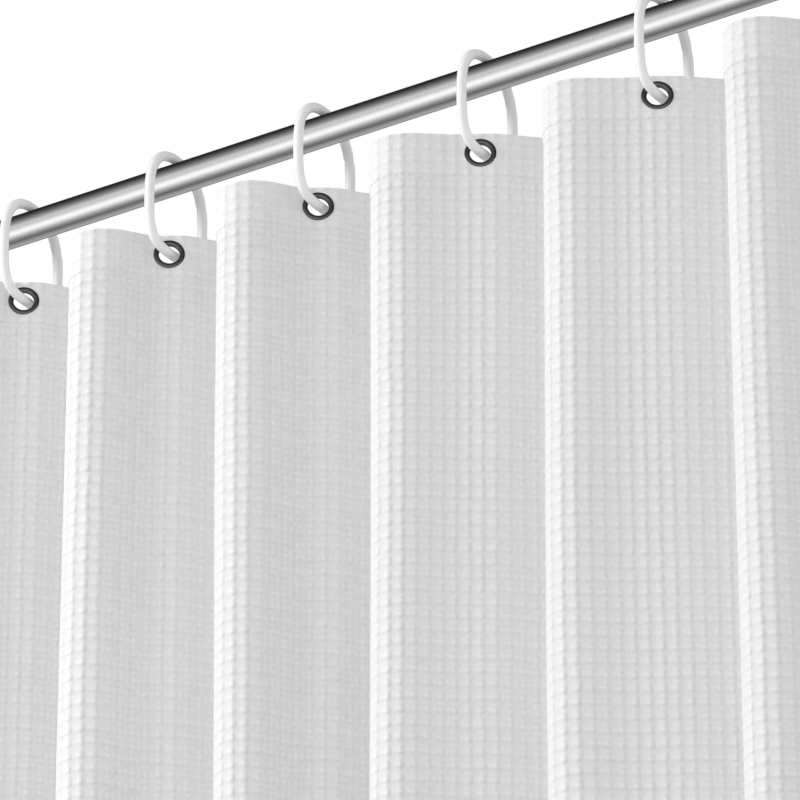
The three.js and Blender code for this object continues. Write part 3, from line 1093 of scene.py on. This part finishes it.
@dataclass
class EyeletShape:
    """A two-part metal eyelet: a rolled front flange with its barrel, and a washer behind the cloth."""

    outer: float = 7.9 * MM
    hole: float = 5.3 * MM
    cloth: float = 1.0 * MM
    gap: float = 0.05 * MM
    roll: float = 0.95 * MM
    segments: int = 64

    def front(self, name: str, place: Matrix) -> bpy.types.Mesh:
        """The rolled flange and barrel.

        Args:
            name: the mesh's name.
            place: its place and turn.

        Returns:
            The mesh.
        """
        face = -self.cloth / 2 - self.gap
        middle = (self.outer + self.hole) / 2
        half = (self.outer - self.hole) / 2
        arc = [
            (face - self.roll * math.sin(math.pi * k / 14) ** 0.8 - 0.12 * MM, middle - half * math.cos(math.pi * k / 14))
            for k in range(15)]
        inner = [(face, self.outer - 0.3 * MM), (face, self.hole + 0.45 * MM), (0.75 * MM, self.hole + 0.45 * MM)]
        curl = [(1.25 * MM, self.hole + 0.75 * MM), (1.35 * MM, self.hole + 0.3 * MM), (1.0 * MM, self.hole)]
        return turned(name, arc + inner + curl, place, self.segments)

    def back(self, name: str, place: Matrix) -> bpy.types.Mesh:
        """The washer.

        Args:
            name: the mesh's name.
            place: its place and turn.

        Returns:
            The mesh.
        """
        face = self.cloth / 2 + 0.4 * MM
        profile = [
            (face, self.hole + 0.6 * MM), (face, self.outer), (face + 0.3 * MM, self.outer),
            (face + 0.55 * MM, self.outer - 0.5 * MM), (face + 0.75 * MM, (self.outer + self.hole) / 2),
            (face + 0.45 * MM, self.hole + 0.6 * MM)]
        return turned(name, rounded(profile, 0.15 * MM, 2), place, self.segments)


@dataclass
class Hangers:
    """Twelve rings with their eyelets and washers."""

    curtain: Curtain
    ring: RingShape = field(default_factory=RingShape)
    eyelet: EyeletShape = field(default_factory=EyeletShape)

    def eyelet_place(self, index: int) -> Matrix:
        """Where an eyelet sits, with its own X axis through the cloth towards the back.

        Args:
            index: the ring's number, from 0.

        Returns:
            The eyelet's place.
        """
        low, high = (Vector(c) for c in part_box(f"eyelet_{index + 1:02d}"))
        reach = self.eyelet.outer + 0.3 * MM
        along = self.curtain.eyelets_along()[index]
        x, y = self.curtain.top_path.at(np.array([along - reach, along + reach]))
        turn = math.atan2(y[1] - y[0], x[1] - x[0])
        middle_x, middle_y = self.curtain.origin.x + x.mean(), self.curtain.origin.y + y.mean()
        centre = Vector((float(middle_x), float(middle_y), (low.z + high.z) / 2))
        return Matrix.Translation(centre) @ Matrix.Rotation(turn + math.pi / 2, 4, "Z")

    def build(self, plastic: bpy.types.Material, metal: bpy.types.Material) -> list[bpy.types.Object]:
        """Makes and dresses every hanger.

        Args:
            plastic: the rings' finish.
            metal: the eyelets' finish.

        Returns:
            The pieces.
        """
        made = []
        for index in range(self.curtain.count):
            label = f"{index + 1:02d}"
            body = f"carriage_{label}"
            low, high = (Vector(c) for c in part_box(f"ring_{label}"))
            bent = self.ring.mesh(f"hanging_ring_{label}", low, high)
            ring = add_piece(f"hanging_ring_{label}", bent, plastic, body)
            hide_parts(f"ring_{label}")
            place = self.eyelet_place(index)
            front = add_piece(
                f"rolled_eyelet_{label}", self.eyelet.front(f"rolled_eyelet_{label}", place),
                metal, body)
            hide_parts(f"eyelet_{label}")
            back = add_piece(
                f"eyelet_back_{label}", self.eyelet.back(f"eyelet_back_{label}", place),
                metal, body)
            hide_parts(f"eyelet_washer_{label}")
            for piece in (ring, front, back):
                piece.visible_glossy = False
            made += [ring, front, back]
        return made


# ---- Rod ---------------------------------------------------------------------------------------------------


@dataclass
class TensionRod:
    """The chrome tubes, the spring and lock inside them, and the end fittings."""

    wall: float = 0.8 * MM
    wire: float = 1.3 * MM
    turns: int = 8
    press: float = 15 * MM
    ribs: int = 28

    def tube(self, node: str, body: str, chrome: bpy.types.Material) -> bpy.types.Object:
        """A smooth drawn tube with rolled ends.

        Args:
            node: the CAD node it stands for.
            body: the body it rides on.
            chrome: its finish.

        Returns:
            The piece.
        """
        low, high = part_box(node)
        radius = (high[2] - low[2]) / 2
        bore = radius - self.wall
        profile = [(low[0], bore), (high[0], bore), (high[0], radius), (low[0], radius)]
        mesh = turned(f"polished_{node}", rounded(profile, 0.35 * MM), Matrix.Identity(4), 128)
        piece = add_piece(f"polished_{node}", mesh, chrome, body)
        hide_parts(node)
        return piece

    def end_cap(self, end: End, body: str, plastic: bpy.types.Material) -> bpy.types.Object:
        """A cup with a rounded skirt and a softened mouth.

        Args:
            end: the wall it stands on.
            body: the body it rides on.
            plastic: its finish.

        Returns:
            The piece.
        """
        node = f"end_cap_{end.value}"
        low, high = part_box(node)
        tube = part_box("rod_outer_tube" if end is End.LEFT else "rod_inner_tube")
        length, outer = high[0] - low[0], (high[2] - low[2]) / 2
        bore = (tube[1][2] - tube[0][2]) / 2 + 0.3 * MM
        floor = 3 * MM
        profile = [
            (floor, 0.0), (floor, bore), (length, bore), (length, bore + 1.6 * MM), (length - 1.2 * MM, bore + 2.2 * MM),
            (length * 0.62, bore + 3.2 * MM), (length * 0.36, outer - 1.2 * MM), (length * 0.24, outer),
            (0.8 * MM, outer), (0.0, outer - 0.8 * MM), (0.0, 0.0)]
        place = Matrix.Translation((low[0], 0, 0))
        if end is End.RIGHT:
            place = Matrix.Translation((high[0], 0, 0)) @ Matrix.Rotation(math.pi, 4, "Z")
        mesh = turned(f"moulded_{node}", self.softened(profile), place, 96)
        piece = add_piece(f"moulded_{node}", mesh, plastic, body)
        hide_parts(node)
        return piece

    @staticmethod
    def softened(profile: list[tuple[float, float]]) -> list[tuple[float, float]]:
        """Rounds a profile's corners but leaves its two ends on the axis."""
        return [profile[0]] + rounded(profile, 0.5 * MM, 3)[4:-4] + [profile[-1]]

    def wall_pad(self, end: End, body: str, rubber: bpy.types.Material) -> bpy.types.Object:
        """A rubber disc with a ribbed rim.

        Args:
            end: the wall it presses on.
            body: the body it rides on.
            rubber: its finish.

        Returns:
            The piece.
        """
        node = f"wall_pad_{end.value}"
        low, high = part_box(node)
        thick, outer = high[0] - low[0], (high[2] - low[2]) / 2
        angles = np.linspace(0, 2 * math.pi, self.ribs * 8, endpoint=False)
        rib = 1 - 0.012 * (1 + np.cos(angles * self.ribs)) / 2
        rows = []
        for along, radius in ((0, 0.02 * MM), (0, outer - 0.6 * MM), (0.6 * MM, outer), (thick - 0.9 * MM, outer),
                              (thick, outer - 0.9 * MM), (thick, 0.02 * MM)):
            shape = rib if radius > outer / 2 else np.ones_like(rib)
            rows.append(np.stack([np.full_like(angles, along), radius * shape * np.cos(angles),
                                  radius * shape * np.sin(angles)], -1))
        mesh = swept_loop(f"ribbed_{node}", np.array(rows), close_ends=True)
        place = Matrix.Translation((low[0], 0, 0))
        if end is End.RIGHT:
            place = Matrix.Translation((high[0], 0, 0)) @ Matrix.Rotation(math.pi, 4, "Z")
        mesh.transform(place)
        piece = add_piece(f"ribbed_{node}", mesh, rubber, body)
        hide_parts(node)
        return piece

    def spring(self, body: str, steel: bpy.types.Material) -> bpy.types.Object:
        """The coil between the plug and the inner tube, with closed ends.

        Args:
            body: the body it rides on.
            steel: its finish.

        Returns:
            The piece.
        """
        low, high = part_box("rod_spring")
        radius = (high[2] - low[2]) / 2 - self.wire / 2
        steps = self.turns * 32
        t = np.linspace(0, 1, steps)
        closed = 0.1
        rise = np.clip((t - closed) / (1 - 2 * closed), 0, 1) * 0.86 + 0.07 * (np.clip(t / closed, 0, 1)
               + np.clip((t - 1 + closed) / closed, 0, 1))
        angle = 2 * math.pi * self.turns * t
        x = low[0] + self.wire / 2 + rise * (high[0] - low[0] - self.wire)
        line = np.stack([x, radius * np.cos(angle), radius * np.sin(angle)], -1)
        along = np.gradient(line, axis=0)
        along /= np.linalg.norm(along, axis=1, keepdims=True)
        out = np.stack([np.zeros_like(t), np.cos(angle), np.sin(angle)], -1)
        side = np.cross(along, out)
        around = np.linspace(0, 2 * math.pi, 8, endpoint=False)
        loops = line[:, None] + self.wire / 2 * (
            np.cos(around)[None, :, None] * out[:, None] + np.sin(around)[None, :, None] * side[:, None])
        piece = add_piece("coiled_spring", swept_loop("coiled_spring", loops, True), steel, body)
        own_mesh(piece)
        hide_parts("rod_spring")
        return piece

    def build(self, chrome: bpy.types.Material, plastic: bpy.types.Material, rubber: bpy.types.Material,
              nylon: bpy.types.Material, steel: bpy.types.Material) -> list[bpy.types.Object]:
        """Makes and dresses the rod.

        Args:
            chrome: the tubes' finish.
            plastic: the caps' finish.
            rubber: the pads' finish.
            nylon: the lock's finish.
            steel: the spring's finish.

        Returns:
            The pieces.
        """
        for node in ("lock_plug", "spring_seat"):
            for material_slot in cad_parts[node].material_slots:
                material_slot.material = nylon
        return [
            self.tube("rod_outer_tube", "rod", chrome),
            self.tube("rod_inner_tube", "rod_extension", chrome),
            self.end_cap(End.LEFT, "rod", plastic),
            self.end_cap(End.RIGHT, "rod_extension", plastic),
            self.wall_pad(End.LEFT, "rod", rubber),
            self.wall_pad(End.RIGHT, "rod_extension", rubber),
            self.spring("rod_lock", steel),
        ]


# ---- Studio ------------------------------------------------------------------------------------------------


@dataclass
class Studio:
    """A pale floor, soft lights, and surroundings that band the chrome as a studio's cards do."""

    floor_gap: float = 0.12
    floor_size: float = 30.0
    backdrop: float = 1.0
    ambient: float = 0.73
    key_power: float = 44.0
    fill_power: float = 6.0

    def floor(self) -> bpy.types.Object:
        """The floor, under the curtain's lowest point.

        Returns:
            The floor's object.
        """
        z = CAD_BOX[0][2] - self.floor_gap
        half = self.floor_size / 2
        mesh = bpy.data.meshes.new("floor")
        corners = [(-half, -half, z), (half, -half, z), (half, half, z), (-half, half, z)]
        mesh.from_pydata(corners, [], [(0, 1, 2, 3)])
        material, tree, shader = new_material("floor")
        place = tree.node("ShaderNodeTexCoord").outputs["Object"]
        mottle = tree.node("ShaderNodeTexNoise", {"Vector": place, "Scale": 3.0, "Detail": 4.0})
        grey = tree.ramp(mottle.outputs[0], ((0.3, 0.80), (0.7, 0.84)))
        tree.tree.links.new(grey, shader.inputs["Base Color"])
        shader.inputs["Roughness"].default_value = 0.9
        mesh.materials.append(material)
        made = bpy.data.objects.new("floor", mesh)
        bpy.context.scene.collection.objects.link(made)
        made.visible_glossy = False
        return made

    def world(self) -> None:
        """White behind the object, even light on the cloth, and bands round the rod's axis in reflections."""
        world = bpy.data.worlds.new("studio")
        bpy.context.scene.world = world
        world.use_nodes = True
        tree = Tree(world.node_tree)
        ray = tree.node("ShaderNodeLightPath")
        direction = tree.node("ShaderNodeTexCoord").outputs["Generated"]
        split = tree.node("ShaderNodeSeparateXYZ", {0: direction})
        forward = tree.math("MULTIPLY", split.outputs[1], -1.0)
        angle = tree.math("ARCTAN2", split.outputs[2], forward)
        turn = tree.math("ADD", tree.math("DIVIDE", angle, 2 * math.pi), 0.5)
        bands = tree.ramp(turn, self.bands())
        diffuse = tree.node("ShaderNodeBackground", {"Color": (1, 1, 1, 1), "Strength": self.ambient})
        glossy = tree.node("ShaderNodeBackground", {"Color": bands, "Strength": 1.0})
        behind = tree.node("ShaderNodeBackground", {"Color": (1, 1, 1, 1), "Strength": self.backdrop})
        reflected = tree.node(
            "ShaderNodeMixShader",
            {0: ray.outputs["Is Glossy Ray"], 1: diffuse.outputs[0], 2: glossy.outputs[0]})
        seen = tree.node(
            "ShaderNodeMixShader",
            {0: ray.outputs["Is Camera Ray"], 1: reflected.outputs[0], 2: behind.outputs[0]})
        tree.node("ShaderNodeOutputWorld", {"Surface": seen.outputs[0]})

    @staticmethod
    def bands() -> list[tuple[float, float]]:
        """Grey levels round the rod's axis, from straight behind, through below, to behind.

        Returns:
            Each band's share of a turn and its level.
        """
        stops = (
            (-180, 0.44), (-165, 0.42), (-140, 0.34), (-112, 0.14), (-89, 0.31), (-69, 0.66),
            (-50, 1.08), (-40, 1.12), (-30, 1.02), (-12, 0.68), (8, 0.66), (29, 0.34),
            (52, 0.14), (81, 0.035), (101, 0.02), (142, 0.03), (155, 0.2))
        return [((degrees + 180) / 360, level) for degrees, level in stops]

    @staticmethod
    def lamp(name: str, azimuth: float, elevation: float, distance: float, size: float, power: float) -> None:
        """Adds a soft square light that looks at the curtain's upper part.

        Args:
            name: the light's name.
            azimuth: its direction, in degrees from the front towards +X.
            elevation: its height angle, in degrees.
            distance: how far away it is.
            size: its side.
            power: its power in watts.
        """
        aim = Vector(((CAD_BOX[0][0] + CAD_BOX[1][0]) / 2, 0, CAD_BOX[1][2] - 0.4))
        a, e = math.radians(azimuth), math.radians(elevation)
        direction = Vector((math.sin(a) * math.cos(e), -math.cos(a) * math.cos(e), math.sin(e)))
        light = bpy.data.lights.new(name, "AREA")
        light.size = size
        light.energy = power
        made = bpy.data.objects.new(name, light)
        made.location = aim + direction * distance
        made.rotation_euler = direction.to_track_quat("Z", "Y").to_euler()
        made.visible_glossy = False
        bpy.context.scene.collection.objects.link(made)

    def build(self) -> None:
        """Sets up the floor, the surroundings and the lights."""
        self.floor()
        self.world()
        self.lamp("key", azimuth=-50, elevation=16, distance=3.0, size=1.4, power=self.key_power)
        self.lamp("fill", azimuth=60, elevation=30, distance=4.0, size=2.5, power=self.fill_power)
        self.lamp("back", azimuth=160, elevation=35, distance=4.0, size=2.0, power=self.fill_power)
        view = bpy.context.scene.view_settings
        view.view_transform = "Standard"
        view.look = "None"


@dataclass
class Viewpoint:
    """A long lens below the rod, looking up and along it at five of the rings."""

    azimuth: float = 33.1
    elevation: float = -27.72
    distance: float = 3.6
    frame_width: float = 0.397
    right: float = 40.3 * MM
    down: float = 95.9 * MM
    middle_eyelet: str = "eyelet_04"

    def build(self) -> bpy.types.Object:
        """Sets up the camera."""
        a, e = math.radians(self.azimuth), math.radians(self.elevation)
        back = Vector((math.sin(a) * math.cos(e), -math.cos(a) * math.cos(e), math.sin(e)))
        across = Vector((math.cos(a), math.sin(a), 0))
        up = back.cross(across)
        low, high = (Vector(c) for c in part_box(self.middle_eyelet))
        aim = (low + high) / 2 + across * self.right - up * self.down
        data = bpy.data.cameras.new("camera")
        data.lens = data.sensor_width * self.distance / self.frame_width
        data.clip_start = 0.1
        data.clip_end = 200.0
        camera = bpy.data.objects.new("camera", data)
        camera.location = aim + back * self.distance
        camera.rotation_euler = back.to_track_quat("Z", "Y").to_euler()
        bpy.context.scene.collection.objects.link(camera)
        bpy.context.scene.camera = camera
        return camera


def report(pieces: Sequence[bpy.types.Object]) -> None:
    """Logs each finished piece with its face count."""
    for piece in pieces:
        log.info("%s: %d faces", piece.name, len(piece.data.polygons))


def main() -> None:
    """Builds the studio, the rod, the curtain and its hangers, in that order."""
    Viewpoint().build()
    Studio().build()
    plastic = PlasticFinish("white_plastic", (0.95, 0.95, 0.975)).material()
    rod = TensionRod().build(
        ChromeFinish().material(),
        plastic,
        MattFinish("rubber", (0.78, 0.78, 0.76), 0.7).material(),
        MattFinish("nylon", (0.78, 0.78, 0.74), 0.45).material(),
        MetalFinish("spring_steel", 0.45, 0.3).material())
    report(rod)
    curtain = Curtain()
    hangers = Hangers(curtain).build(plastic, MetalFinish("eyelet_metal", 0.16, 0.16).material())
    report(hangers)
    report(curtain.build(WaffleFinish().material(), ThreadFinish().material()))


if __name__ == "__main__":
    main()
